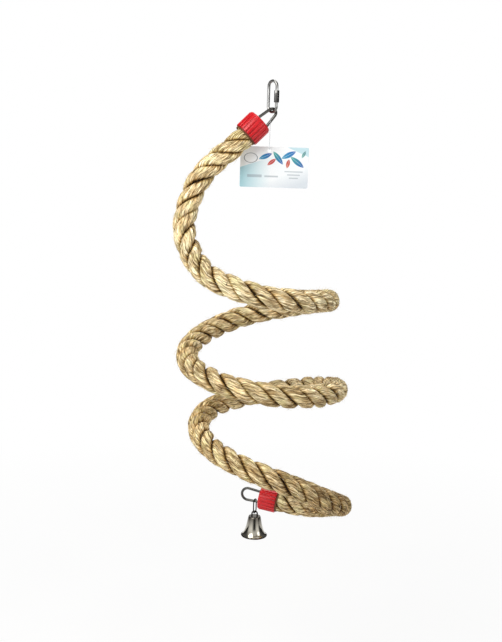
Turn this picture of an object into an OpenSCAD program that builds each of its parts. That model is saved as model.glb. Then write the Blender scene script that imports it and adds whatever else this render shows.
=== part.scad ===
// Hanging spiral rope perch: a thick natural rope over a springy steel core, with a ribbed
// cap and a wire eye at each end, a quick link to hang it by, a bell below and a hang tag.
// The origin is the inside top of the quick link, where a hook or cage bar bears. +Z is up.

/* [Rope and coil] */
// Diameter over the rope's strands
rope_d = 25; // [20:0.5:28]
// Diameter of the springy steel core
core_d = 4; // [3:0.5:6]
// Running space between the core and the rope's lay around it
core_clearance = 0.4; // [0.2:0.1:1]
// Radius of the coil, from its axis to the middle of the rope
coil_radius = 82.5; // [78:0.5:95]
// Height that the coil drops from its first quarter turn to its last
coil_drop = 327.5; // [310:0.5:380]
// Sideways drift of the coil's axis in each turn
coil_drift = 12.8; // [0:0.2:16]
// Forward drift of the coil's axis in each turn
coil_forward_drift = 2; // [0:0.5:6]

/* [End caps] */
// Thickness of the cap's side between its ribs
cap_side = 0.9; // [0.7:0.1:1.6]
// Length of a cap
cap_length = 22.3; // [20:0.1:30]
// Thickness of the cap's closed end
cap_wall = 2.5; // [1.5:0.1:3.5]
// How far a rib stands out of the cap's side
rib_height = 0.7; // [0.4:0.1:1]
// Width of a rib
rib_width = 2; // [1.4:0.1:2.4]
// Number of ribs round a cap
rib_count = 20; // [12:1:24]
// Rounding of the cap's closed edge
cap_edge = 1.4; // [0.5:0.1:2]
// Thickness of the tape wound round the rope's end
tape_thickness = 0.5; // [0.3:0.1:0.8]
// Gap between the tape and the cap, and between the rope and the tape
tape_clearance = 0.1; // [0.05:0.05:0.2]
// How far the tape shows past the cap's mouth
tape_show = 1.8; // [0.5:0.1:4]

/* [Wire eyes] */
// Diameter of the eye wire
eye_wire = 3.2; // [2.5:0.1:3.6]
// Space between the upper ferrule and the side of its cap
upper_ferrule_space = 0.6; // [0.3:0.1:1.5]
// Radius of the upper eye's arch, to the middle of the wire
upper_arch_r = 4.8; // [4.6:0.1:6]
// How far the upper eye reaches out of its cap
upper_reach = 21.6; // [20:0.1:26]
// How far the upper eye sits off the middle of its cap
upper_shift = 2.4; // [0:0.1:2.6]
// Space between the lower ferrule and the side of its cap
lower_ferrule_space = 3.4; // [0.6:0.1:4]
// Radius of the lower eye's arch, to the middle of the wire
lower_arch_r = 7.7; // [7:0.1:9]
// How far the lower eye reaches out of its cap
lower_reach = 25; // [22:0.1:28]
// Length of the crimped ferrule that holds the legs and the core
ferrule_length = 7.5; // [5:0.1:9]
// Metal round each leg in the ferrule
ferrule_wall = 1.4; // [1:0.1:2]
// Gap between the ferrule and the rope's end
ferrule_gap = 0.3; // [0.2:0.05:0.5]
// How far the steel core is gripped by the ferrule
core_grip = 6; // [3:0.5:7]
// Radial clearance of a wire in its hole
wire_clearance = 0.08; // [0.05:0.01:0.2]

/* [Quick link] */
// Diameter of the link's wire
link_wire = 3.1; // [2.9:0.1:3.4]
// Inner length of the link
link_inner_length = 30; // [29:0.5:36]
// Inner width of the link
link_inner_width = 8.5; // [8:0.1:11]
// Opening that the nut closes
link_gap = 3.4; // [3.3:0.1:4]
// Length of the nut
nut_length = 13; // [11:0.1:14]
// Distance across the nut's flats
nut_flats = 5; // [4.8:0.1:6]
// How far the closed nut covers the upper leg
nut_grip = 0.7; // [0.5:0.1:1.5]
// Radial clearance of the nut on its thread
nut_clearance = 0.05; // [0.02:0.01:0.1]
// Gap left where the upper eye hangs in the link
eye_hang_gap = 0.4; // [0.3:0.05:0.5]
// Gap left where the small wires and the tag hang
hang_gap = 0.3; // [0.2:0.05:0.4]

/* [Bell] */
// Diameter of the bell's mouth
bell_d = 32.8; // [30:0.2:40]
// Height of the bell's shell
bell_height = 25.4; // [23:0.2:30]
// Thickness of the bell's shell
bell_wall = 0.8; // [0.6:0.1:1.2]
// Wire of the link that carries the bell
bell_link_wire = 1.5; // [1.2:0.1:1.8]
// Inner width of that link
bell_link_width = 5; // [4.8:0.1:6]
// Inner length of that link
bell_link_length = 16.4; // [13:0.2:18]
// Place of that link along the lower eye, from the cap's end
bell_link_place = 5.4; // [5:0.1:9]
// Wire of the crown, the staple through the bell's top
crown_wire = 1.8; // [1.5:0.1:2]
// Distance between the crown's two legs
crown_leg_gap = 6.6; // [6:0.1:7.4]
// Height of the crown above the bell
crown_height = 7.2; // [6.5:0.1:10]
// How far the crown reaches down inside the bell
crown_depth = 5.4; // [5:0.1:6.5]
// Wire of the clapper
clapper_wire = 1.4; // [1.2:0.1:1.6]
// Radius of the clapper's loop, to the middle of the wire
clapper_loop_r = 2; // [1.9:0.05:2.3]
// Diameter of the clapper's ball
clapper_ball_d = 8; // [6:0.5:9]
// Height of the ball's centre above the bell's mouth
clapper_rise = 6.2; // [5.5:0.1:8]
// Bare wire left below the ball
clapper_tail = 0.6; // [0.3:0.1:1]

/* [Hang tag] */
// Width of the card
tag_width = 75; // [60:0.5:80]
// Height of the card
tag_height = 44.5; // [35:0.5:60]
// Thickness of the card
tag_thickness = 0.5; // [0.3:0.1:0.8]
// Corner radius of the card
tag_corner = 1.5; // [0.5:0.5:4]
// Diameter of the card's hole
tag_hole_d = 4; // [3:0.5:5]
// Distance of the hole from the card's top edge
tag_hole_drop = 4.4; // [3.5:0.1:8]
// Distance of the hole from the card's left edge
tag_hole_side = 31.5; // [25:0.5:40]
// Drop from the eye's leg to the hole
tag_drop = 31.5; // [28:0.5:45]
// How far the rope's middle lies behind the eye's leg, where the card leans on the rope
tag_lean = 13.5; // [12:0.1:13.5]
// Diameter of the clear filament
filament_d = 0.6; // [0.4:0.1:0.8]
// Place of the filament along the upper eye's leg, from the cap's end
filament_place = 8; // [6:0.1:9]

/* [Hidden] */
$fn = 64;

rope_color = "#B89D6A";
core_color = "#8A8D8F";
tape_color = "#7A5A32";
cap_color = "#C8202A";
wire_color = "#8E8C88";
ferrule_color = "#A5A7AA";
bell_color = "#A9A397";
ball_color = "#6F6E6C";
card_color = "#E9F2F5";
filament_color = "#DDE3E6";

// One overrun serves every cut
cut = 1;

// The cap's axis at the top: its lift above the horizon and its heading from +X towards +Y
upper_lift = 44;
upper_heading = 14.7;
// Turn of the upper eye's plane about that axis
upper_spin = 11;
lower_spin = 0;
// Turn of the quick link about the vertical
link_heading = -42;
bell_link_heading = 60;
crown_heading = 0;

// Angles of the coil about its axis, where it takes over from the lead-in and where it ends
coil_start = 240;
coil_end = 1157;
first_quarter = 180;
quarter = 90;

// The coil's axis at its first quarter, seen from the upper cap's mouth, in coil radii
axis_share = [0.133, 0.111, -1.477];
// The coil's radius at each quarter turn, in coil radii
reach_shares = [0.96, 0.965, 0.985, 1.005, 1.01, 1.01, 1, 1, 0.98, 0.98, 0.98, 1, 1];
// How much of the drop is behind the rope at each quarter turn; the last only sets the end's lift
drop_shares = [0, 0.123, 0.181, 0.282, 0.386, 0.448, 0.494, 0.583, 0.641, 0.74, 0.921, 1, 0.6];
// The lead-in from the upper cap's mouth to the coil, in coil radii
lead_shares = [
    [-0.41, -0.06, -0.37], [-0.59, -0.105, -0.59], [-0.70, -0.16, -0.83], [-0.76, -0.23, -1.06],
    [-0.765, -0.31, -1.26], [-0.70, -0.405, -1.45], [-0.59, -0.52, -1.63]
];
rings_per_turn = 24;
rings_per_lead = 3;
rings_per_end = 2;
rope_sides = 12;
core_sides = 8;

// The bell's outline: radius in halves of the mouth's diameter, depth in shares of the height
bell_profile_shares = [
    [0.44, 0], [0.47, 0.04], [0.5, 0.12], [0.54, 0.26], [0.58, 0.4], [0.625, 0.53], [0.685, 0.66],
    [0.76, 0.78], [0.86, 0.9], [1, 1]
];

function unit(v) = v / norm(v);
function hundredths(v) = round(100 * v) / 100;
function heading_dir(lift, heading) = [cos(lift) * cos(heading), cos(lift) * sin(heading), sin(lift)];
function side_dir(lift, heading) = [sin(lift) * cos(heading), sin(lift) * sin(heading), -cos(lift)];
function level_dir(heading) = [-sin(heading), cos(heading), 0];

// Cubic between a and b with end slopes ma and mb
function cubic(a, b, ma, mb, s) =
    (2 * pow(s, 3) - 3 * pow(s, 2) + 1) * a + (pow(s, 3) - 2 * pow(s, 2) + s) * ma
    + (3 * pow(s, 2) - 2 * pow(s, 3)) * b + (pow(s, 3) - pow(s, 2)) * mb;

// Smooth value at place x of a table with one entry for each whole x
function table_value(table, x) =
    let (i = min(floor(x), len(table) - 2), a = table[i], b = table[i + 1])
    let (before = i > 0 ? table[i - 1] : 2 * a - b)
    let (after = i + 2 < len(table) ? table[i + 2] : 2 * b - a)
    cubic(a, b, (b - before) / 2, (after - a) / 2, x - i);

// Quick link
link_arc_r = link_inner_width / 2 + link_wire / 2;
link_straight = link_inner_length - link_inner_width;
nut_bore_r = link_wire / 2 + nut_clearance;
nut_travel_play = 0.1 * link_gap;
// The nut's lower end reaches the end of the straight leg when it is fully open
nut_open_low = -link_inner_width / 2 - link_straight + nut_travel_play;
nut_travel = link_gap + nut_grip;
nut_low = nut_open_low + nut_travel;
nut_top = nut_low + nut_length;
gap_top = nut_top - nut_grip + nut_clearance;
gap_low = gap_top - link_gap;

// Caps, measured from the closed end's outer face towards the mouth
tape_inner_r = rope_d / 2 + tape_clearance;
tape_outer_r = tape_inner_r + tape_thickness;
cap_bore_r = tape_outer_r + tape_clearance;
cap_root_r = cap_bore_r + cap_side;
cap_d = 2 * (cap_root_r + rib_height);
rib_inset = 0.3 * cap_edge;
rib_length = cap_length - cap_edge - 2 * rib_inset;
rope_seat = cap_wall + ferrule_length + ferrule_gap;
leg_depth = cap_wall + ferrule_length - ferrule_wall;
leg_hole_r = eye_wire / 2 + wire_clearance;
core_hole_r = core_d / 2 + wire_clearance;
ferrule_r = eye_wire / 2 + ferrule_wall;
upper_leg_gap = 2 * (cap_bore_r - upper_ferrule_space - ferrule_r - upper_shift);
lower_leg_gap = 2 * (cap_bore_r - lower_ferrule_space - ferrule_r);

// Upper eye: its arch hangs on the inside of the quick link's lower arc
function arch_place(arch_r, reach) = reach - eye_wire / 2 - arch_r;
function leg_tilt(leg_gap, arch_r, reach) =
    let (foot = leg_gap / 2, arch = arch_place(arch_r, reach))
    asin(arch_r / norm([foot, arch])) - atan2(foot, arch);
knuckle_rise = 0.05;
knuckle_gap = 0.02;
upper_axis = heading_dir(upper_lift, upper_heading);
upper_side = cos(upper_spin) * side_dir(upper_lift, upper_heading) + sin(upper_spin) * level_dir(upper_heading);
upper_rise = unit(upper_axis * upper_axis[2] + upper_side * upper_side[2]);
hang_height = -link_inner_length + eye_hang_gap + eye_wire / 2;
upper_arch_centre = [0, 0, hang_height] - upper_arch_r * upper_rise;
upper_face = upper_arch_centre
    - arch_place(upper_arch_r, upper_reach) * upper_axis - upper_shift * upper_side;
upper_mouth = upper_face - cap_length * upper_axis;

// Rope's route
axis_top = upper_mouth + coil_radius * axis_share;
function coil_turn(angle) = (angle - first_quarter) / 360;
function coil_point(angle) =
    let (x = (angle - first_quarter) / quarter, r = coil_radius * table_value(reach_shares, x))
    axis_top + [coil_drift, -coil_forward_drift, 0] * coil_turn(angle)
    + [r * cos(angle), r * sin(angle), -coil_drop * table_value(drop_shares, x)];
function coil_tangent(angle) = unit(coil_point(angle + 0.5) - coil_point(angle - 0.5));

rope_top = upper_face - rope_seat * upper_axis;
lead_top = rope_top - rope_d * upper_axis;
lead_knots = concat(
    [lead_top], [for (share = lead_shares) upper_mouth + coil_radius * share], [coil_point(coil_start)]
);
lead_spans = len(lead_knots) - 1;
function lead_slope(i) =
    i == 0 ? -upper_axis * norm(lead_knots[1] - lead_knots[0])
    : i == lead_spans ? coil_tangent(coil_start) * norm(lead_knots[i] - lead_knots[i - 1])
    : (lead_knots[i + 1] - lead_knots[i - 1]) / 2;

lower_axis = coil_tangent(coil_end);
lower_lift = asin(lower_axis[2]);
lower_heading = atan2(lower_axis[1], lower_axis[0]);
rope_end = coil_point(coil_end) + rope_d * lower_axis;
lower_face = rope_end + rope_seat * lower_axis;

coil_steps = round((coil_end - coil_start) / 360 * rings_per_turn);
route = concat(
    [for (k = [0:rings_per_end - 1]) rope_top + (lead_top - rope_top) * k / rings_per_end],
    [for (i = [0:lead_spans - 1], k = [0:rings_per_lead - 1])
        cubic(lead_knots[i], lead_knots[i + 1], lead_slope(i), lead_slope(i + 1), k / rings_per_lead)],
    [for (k = [0:coil_steps - 1]) coil_point(coil_start + (coil_end - coil_start) * k / coil_steps)],
    [for (k = [0:rings_per_end]) coil_point(coil_end) + (rope_end - coil_point(coil_end)) * k / rings_per_end]
);
core_route = concat([rope_top + core_grip * upper_axis], route, [rope_end + core_grip * lower_axis]);

// Least clear gap between stretches of the rope that lie more than a third of a turn apart
apart = rings_per_turn / 3;
rope_ring_last = len(route) - 1;
self_gap = min([
    for (i = [0:rope_ring_last - apart], j = [i + apart:rope_ring_last]) norm(route[i] - route[j])
]) - rope_d;
function sum_of(list, i = 0) = i < len(list) ? list[i] + sum_of(list, i + 1) : 0;
rope_length = sum_of([for (i = [1:rope_ring_last]) norm(route[i] - route[i - 1])]);
echo(self_gap = self_gap, rope_length = rope_length, lower_lift = lower_lift, lower_heading = lower_heading);

// Directions and steady side directions along a path
function tangents(path) =
    let (end = len(path) - 1)
    [for (i = [0:end]) unit(path[min(i + 1, end)] - path[max(i - 1, 0)])];
function square_to(v, t) = unit(v - (v * t) * t);
function sides_along(t, first) =
    [for (i = 0, s = square_to(first, t[0]); i < len(t); i = i + 1, s = i < len(t) ? square_to(s, t[i]) : s) s];

// A tube along a path, with a bore when inner_r is over zero
module tube_along(path, outer_r, sides, inner_r = 0) {
    t = tangents(path);
    s = sides_along(t, [1, 1, 0]);
    rings = len(path);
    last_ring = rings - 1;
    inner = rings * sides;
    function ring_point(i, k, r) =
        let (angle = 360 * k / sides)
        path[i] + r * (cos(angle) * s[i] + sin(angle) * cross(t[i], s[i]));
    function skin_points(r) = [for (i = [0:rings - 1], k = [0:sides - 1]) ring_point(i, k, r)];
    function at(i, k) = i * sides + (k % sides);
    function quad(a, b, c, d) = [[a, b, c], [a, c, d]];
    outer_skin = [
        for (i = [0:rings - 2], k = [0:sides - 1])
            each quad(at(i, k), at(i + 1, k), at(i + 1, k + 1), at(i, k + 1))
    ];
    if (inner_r > 0) {
        inner_skin = [for (face = outer_skin) [inner + face[0], inner + face[2], inner + face[1]]];
        ends = [
            for (k = [0:sides - 1])
                each concat(
                    quad(at(0, k), at(0, k + 1), inner + at(0, k + 1), inner + at(0, k)),
                    quad(at(last_ring, k), inner + at(last_ring, k), inner + at(last_ring, k + 1), at(last_ring, k + 1))
                )
        ];
        polyhedron(concat(skin_points(outer_r), skin_points(inner_r)), concat(outer_skin, inner_skin, ends));
    } else {
        discs = [
            for (k = [1:sides - 2])
                each [[at(0, 0), at(0, k), at(0, k + 1)], [at(last_ring, 0), at(last_ring, k + 1), at(last_ring, k)]]
        ];
        polyhedron(skin_points(outer_r), concat(outer_skin, discs));
    }
}

// Puts local +Z along a direction given by lift and heading, and turns the piece about it
module aim(place, lift, heading, spin = 0) {
    translate(place) rotate([0, 90 - lift, heading]) rotate([0, 0, spin]) children();
}

// A closed wire loop with round ends in the local X-Z plane, its inner top at the origin
module wire_loop(width, length, wire) {
    r = (width + wire) / 2;
    for (end = [0, 1]) {
        translate([0, 0, -width / 2 - end * (length - width)])
            rotate([90, 0, 0]) rotate([0, 0, end * 180])
                rotate_extrude(angle = 180) translate([r, 0]) circle(d = wire);
    }
    for (side = [-r, r]) {
        translate([side, 0, width / 2 - length]) cylinder(h = length - width, d = wire);
    }
}

// An eye bent from wire: local +Z leaves the cap, local X is the width. Its stretches meet in
// knuckles that stand a little proud
module wire_eye(leg_gap, arch_r, reach) {
    arch = arch_place(arch_r, reach);
    foot = leg_gap / 2;
    tilt = leg_tilt(leg_gap, arch_r, reach);
    leg_length = sqrt(pow(foot, 2) + pow(arch, 2) - pow(arch_r, 2));
    gap_angle = knuckle_gap / arch_r * 180 / PI;
    translate([0, 0, arch]) rotate([90, 0, 0]) rotate([0, 0, gap_angle - tilt])
        rotate_extrude(angle = 180 + 2 * tilt - 2 * gap_angle) translate([arch_r, 0]) circle(d = eye_wire);
    for (side = [-1, 1]) {
        translate([side * foot, 0, 0]) {
            translate([0, 0, -leg_depth]) cylinder(h = leg_depth - knuckle_gap, d = eye_wire);
            sphere(r = eye_wire / 2 + knuckle_rise, $fn = 32);
            rotate([0, side * tilt, 0]) {
                translate([0, 0, knuckle_gap]) cylinder(h = leg_length - 2 * knuckle_gap, d = eye_wire);
                translate([0, 0, leg_length]) sphere(r = eye_wire / 2 + knuckle_rise, $fn = 32);
            }
        }
    }
}

// A ribbed cap with its closed end's outer face at the local origin
module ribbed_cap(leg_gap, shift) {
    difference() {
        union() {
            rotate_extrude() {
                translate([0, -cap_length]) square([cap_root_r, cap_length - cap_edge]);
                translate([0, -cap_edge]) square([cap_root_r - cap_edge, cap_edge]);
                intersection() {
                    translate([cap_root_r - cap_edge, -cap_edge]) circle(r = cap_edge);
                    translate([cap_root_r - cap_edge, -cap_edge]) square(cap_edge);
                }
            }
            for (k = [0:rib_count - 1]) {
                rotate([0, 0, 360 * k / rib_count])
                    translate([cap_d / 2 - rib_width / 2, 0, rib_inset - cap_length])
                        cylinder(h = rib_length, d = rib_width, $fn = 24);
            }
        }
        translate([0, 0, -cap_length - cut]) cylinder(h = cap_length - cap_wall + cut, r = cap_bore_r);
        for (side = [-1, 1]) {
            translate([shift + side * leg_gap / 2, 0, -cap_wall - cut])
                cylinder(h = cap_wall + 2 * cut, r = leg_hole_r);
        }
    }
}

// The crimped ferrule under the cap's end wall: two leg holes through it and one for the core
module ferrule(leg_gap, shift) {
    translate([0, 0, -cap_wall - ferrule_length]) difference() {
        union() {
            for (side = [-1, 1]) {
                translate([shift + side * leg_gap / 2, 0, 0]) cylinder(h = ferrule_length, r = ferrule_r);
            }
            translate([shift - leg_gap / 2, -ferrule_r, 0])
                cube([leg_gap, 2 * ferrule_r, ferrule_length]);
        }
        for (side = [-1, 1]) {
            translate([shift + side * leg_gap / 2, 0, -cut])
                cylinder(h = ferrule_length + 2 * cut, r = leg_hole_r);
        }
        translate([0, 0, -cut]) cylinder(h = core_grip + 2 * cut, r = core_hole_r);
    }
}

// The tape round the rope's end, from the ferrule side to just past the cap's mouth
module tape_band() {
    translate([0, 0, -cap_length - tape_show]) difference() {
        cylinder(h = cap_length + tape_show - rope_seat, r = tape_outer_r);
        translate([0, 0, -cut]) cylinder(h = cap_length + tape_show - rope_seat + 2 * cut, r = tape_inner_r);
    }
}

module at_upper_end() { aim(upper_face, upper_lift, upper_heading, upper_spin) children(); }
module at_lower_end() { aim(lower_face, lower_lift, lower_heading, lower_spin) children(); }

module quick_link_body() {
    color(wire_color) rotate([0, 0, link_heading]) difference() {
        wire_loop(link_inner_width, link_inner_length, link_wire);
        translate([link_arc_r - link_wire, -link_wire, gap_low]) cube([2 * link_wire, 2 * link_wire, link_gap]);
    }
}

module quick_link_nut() {
    color(wire_color) rotate([0, 0, link_heading]) translate([link_arc_r, 0, nut_low]) difference() {
        cylinder(h = nut_length, d = nut_flats / cos(30), $fn = 6);
        translate([0, 0, -cut]) cylinder(h = nut_length + 2 * cut, r = nut_bore_r);
    }
}

module upper_eye() {
    color(wire_color) at_upper_end()
        translate([upper_shift, 0, 0]) wire_eye(upper_leg_gap, upper_arch_r, upper_reach);
}

module upper_ferrule() { color(ferrule_color) at_upper_end() ferrule(upper_leg_gap, upper_shift); }
module upper_cap() { color(cap_color) at_upper_end() ribbed_cap(upper_leg_gap, upper_shift); }
module upper_tape() { color(tape_color) at_upper_end() tape_band(); }
module rope() { color(rope_color) tube_along(route, rope_d / 2, rope_sides, core_d / 2 + core_clearance); }
module steel_core() { color(core_color) tube_along(core_route, core_d / 2, core_sides); }
module lower_tape() { color(tape_color) at_lower_end() tape_band(); }
module lower_cap() { color(cap_color) at_lower_end() ribbed_cap(lower_leg_gap, 0); }
module lower_ferrule() { color(ferrule_color) at_lower_end() ferrule(lower_leg_gap, 0); }

module lower_eye() {
    color(wire_color) at_lower_end() wire_eye(lower_leg_gap, lower_arch_r, lower_reach);
}

// The bell's link hangs on the lower eye's lower leg
lower_side = side_dir(lower_lift, lower_heading);
lower_tilt = leg_tilt(lower_leg_gap, lower_arch_r, lower_reach);
bell_leg_point = lower_face + bell_link_place * lower_axis
    + (lower_leg_gap / 2 + bell_link_place * tan(lower_tilt)) * lower_side;
bell_link_top = bell_leg_point + [0, 0, eye_wire / 2 / cos(lower_lift + lower_tilt) + hang_gap];
bell_top = bell_link_top - [0, 0, bell_link_length - hang_gap - crown_wire + crown_height];
crown_width = crown_leg_gap - crown_wire;
crown_inner_top = crown_height - crown_wire;
crown_length = crown_inner_top + crown_depth - crown_wire;
crown_low = -crown_depth + crown_wire / 2;
clapper_loop_centre = crown_low + crown_wire / 2 + hang_gap + clapper_wire / 2 - clapper_loop_r;
ball_centre = -bell_height + clapper_rise;

module bell_link() {
    color(wire_color) translate(bell_link_top) rotate([0, 0, bell_link_heading])
        wire_loop(bell_link_width, bell_link_length, bell_link_wire);
}

module bell_crown() {
    color(wire_color) translate(bell_top) rotate([0, 0, crown_heading])
        translate([0, 0, crown_inner_top]) wire_loop(crown_width, crown_length, crown_wire);
}

module bell_shell() {
    outer = [for (p = bell_profile_shares) [p[0] * bell_d / 2, -p[1] * bell_height]];
    inner = [for (k = [len(outer) - 1:-1:1]) [outer[k][0] - bell_wall, outer[k][1]]];
    under_top = [[outer[0][0] - bell_wall, -bell_wall], [0, -bell_wall]];
    color(bell_color) translate(bell_top) difference() {
        rotate_extrude() polygon(concat([[0, 0]], outer, inner, under_top));
        rotate([0, 0, crown_heading]) for (side = [-1, 1]) {
            translate([side * crown_leg_gap / 2, 0, -bell_wall - cut])
                cylinder(h = bell_wall + 2 * cut, r = crown_wire / 2 + wire_clearance);
        }
    }
}

module clapper_stem() {
    stem_low = ball_centre - clapper_ball_d / 2 - clapper_tail;
    color(wire_color) translate(bell_top) {
        translate([0, 0, clapper_loop_centre]) rotate([0, 0, crown_heading]) rotate([0, 90, 0])
            rotate_extrude() translate([clapper_loop_r, 0]) circle(d = clapper_wire);
        translate([0, 0, stem_low])
            cylinder(h = clapper_loop_centre - clapper_loop_r - stem_low, d = clapper_wire);
    }
}

module clapper_ball() {
    color(ball_color) translate(bell_top + [0, 0, ball_centre]) difference() {
        sphere(d = clapper_ball_d);
        translate([0, 0, -clapper_ball_d])
            cylinder(h = 2 * clapper_ball_d, r = clapper_wire / 2 + wire_clearance);
    }
}

// The tag's filament goes round the upper eye's right leg, and its card leans on the rope
tag_back = tag_lean - rope_d / 2;
upper_tilt = leg_tilt(upper_leg_gap, upper_arch_r, upper_reach);
tag_leg_point = upper_face + filament_place * upper_axis
    + (upper_shift + upper_leg_gap / 2 + filament_place * tan(upper_tilt)) * upper_side;
tag_leg_dir = unit(upper_axis + tan(upper_tilt) * upper_side);
// The loop's round top lies about the leg, which slants through it, with room to swing
loop_r = hundredths((eye_wire / 2 + hang_gap + filament_d / 2) / abs(tag_leg_dir[0]) - filament_d / 2);
tag_hole_centre = tag_leg_point + [0, tag_back, -tag_drop];
loop_low = tag_drop - tag_hole_d / 2 + filament_d / 2 + hang_gap;
loop_slope = atan2(tag_back, tag_drop);

module tag_loop() {
    length = hundredths(loop_r + loop_low / cos(loop_slope) - filament_d / 2);
    color(filament_color) translate(tag_leg_point) rotate([loop_slope, 0, 0]) rotate([0, 0, 90])
        translate([0, 0, loop_r]) wire_loop(2 * loop_r, length, filament_d);
}

module hang_tag() {
    left = -tag_hole_side;
    low = tag_hole_drop - tag_height;
    inset_width = tag_width - 2 * tag_corner;
    inset_height = tag_height - 2 * tag_corner;
    color(card_color) translate(tag_hole_centre + [0, tag_thickness / 2, 0]) rotate([90, 0, 0])
        linear_extrude(tag_thickness) difference() {
            translate([left, low]) union() {
                translate([tag_corner, 0]) square([inset_width, tag_height]);
                translate([0, tag_corner]) square([tag_width, inset_height]);
                for (x = [0, inset_width], y = [0, inset_height]) {
                    translate([tag_corner + x, tag_corner + y]) circle(r = tag_corner);
                }
            }
            circle(d = tag_hole_d);
        }
}

quick_link_body();
quick_link_nut();
upper_eye();
upper_ferrule();
upper_cap();
upper_tape();
rope();
steel_core();
lower_tape();
lower_cap();
lower_ferrule();
lower_eye();
bell_link();
bell_crown();
bell_shell();
clapper_stem();
clapper_ball();
tag_loop();
hang_tag();
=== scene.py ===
# Hanging spiral rope perch: three-strand manila rope round a springy core, ribbed red caps,
# wire eyes, a quick link, a small bell and a hang tag. Metres, +Z up, hung from the origin.
import bmesh
import bpy
import math
import numpy as np
from functools import partial
from mathutils import Matrix, Vector


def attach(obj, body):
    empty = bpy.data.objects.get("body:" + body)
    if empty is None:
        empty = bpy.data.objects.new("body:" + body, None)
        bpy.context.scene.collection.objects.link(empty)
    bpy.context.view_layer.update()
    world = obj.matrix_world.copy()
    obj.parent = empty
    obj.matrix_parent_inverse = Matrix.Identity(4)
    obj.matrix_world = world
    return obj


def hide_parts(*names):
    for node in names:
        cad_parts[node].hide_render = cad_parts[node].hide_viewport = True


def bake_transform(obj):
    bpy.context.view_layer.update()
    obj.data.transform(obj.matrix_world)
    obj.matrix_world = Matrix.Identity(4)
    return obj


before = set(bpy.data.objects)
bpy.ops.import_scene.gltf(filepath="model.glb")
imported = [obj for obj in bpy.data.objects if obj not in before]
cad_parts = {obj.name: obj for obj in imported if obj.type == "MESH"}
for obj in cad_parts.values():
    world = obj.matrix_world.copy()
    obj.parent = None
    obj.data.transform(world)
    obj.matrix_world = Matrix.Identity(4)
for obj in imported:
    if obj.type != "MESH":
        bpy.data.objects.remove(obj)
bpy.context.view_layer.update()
print("frame loaded")

mm = 0.001


# Camera: a little above the middle of the perch, turned slightly as the photograph is
camera = {
    "target": (-15.8 * mm, 0, -264.3 * mm),
    "distance": 1.25,
    "elevation": 12,
    "roll": 1.8,
    "lens": 62.03,
}


def addCamera(c):
    e, r = math.radians(c["elevation"]), math.radians(c["roll"])
    level, lift = Vector((1, 0, 0)), Vector((0, math.sin(e), math.cos(e)))
    back = Vector((0, -math.cos(e), math.sin(e)))
    right = math.cos(r) * level + math.sin(r) * lift
    up = math.cos(r) * lift - math.sin(r) * level
    data = bpy.data.cameras.new("camera")
    data.lens, data.sensor_width = c["lens"], 36
    data.clip_start, data.clip_end = 0.05, 20
    shooter = bpy.data.objects.new("camera", data)
    turn = Matrix((right, up, back)).transposed().to_4x4()
    shooter.matrix_world = Matrix.Translation(Vector(c["target"]) + c["distance"] * back) @ turn
    bpy.context.scene.collection.objects.link(shooter)
    bpy.context.scene.camera = shooter


addCamera(camera)


# Where the rope runs, as the CAD has it, in millimetres and shares of the coil's radius and drop
upperEnd = {"face": (-12.2938, -3.0237, -41.6187), "lift": 44, "heading": 14.7, "spin": 11}
coil = {
    "radius": 82.5, "drop": 327.5, "drift": 12.8, "forwardDrift": 2, "start": 240, "end": 1157,
    "axis": (0.133, 0.111, -1.477),
    "reach": (0.96, 0.965, 0.985, 1.005, 1.01, 1.01, 1, 1, 0.98, 0.98, 0.98, 1, 1),
    "fall": (0, 0.123, 0.181, 0.282, 0.386, 0.448, 0.494, 0.583, 0.641, 0.74, 0.921, 1, 0.6),
    "lead": (
        (-0.41, -0.06, -0.37), (-0.59, -0.105, -0.59), (-0.70, -0.16, -0.83), (-0.76, -0.23, -1.06),
        (-0.765, -0.31, -1.26), (-0.70, -0.405, -1.45), (-0.59, -0.52, -1.63),
    ),
    "seat": 10.3, "capLength": 22.3, "ropeAcross": 25,
    "endSteps": 20, "leadSteps": 24, "coilSteps": 900,
}


def unit(v):
    return v / np.linalg.norm(v)


def aimedAxis(lift, heading):
    a, h = math.radians(lift), math.radians(heading)
    return np.array([math.cos(a) * math.cos(h), math.cos(a) * math.sin(h), math.sin(a)])


def cubic(a, b, slopeA, slopeB, s):
    return ((2 * s**3 - 3 * s**2 + 1) * a + (s**3 - 2 * s**2 + s) * slopeA
            + (3 * s**2 - 2 * s**3) * b + (s**3 - s**2) * slopeB)


def tableValue(table, x):
    i = min(int(math.floor(x)), len(table) - 2)
    a, b = table[i], table[i + 1]
    before = table[i - 1] if i > 0 else 2 * a - b
    after = table[i + 2] if i + 2 < len(table) else 2 * b - a
    return cubic(a, b, (b - before) / 2, (after - a) / 2, x - i)


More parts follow.
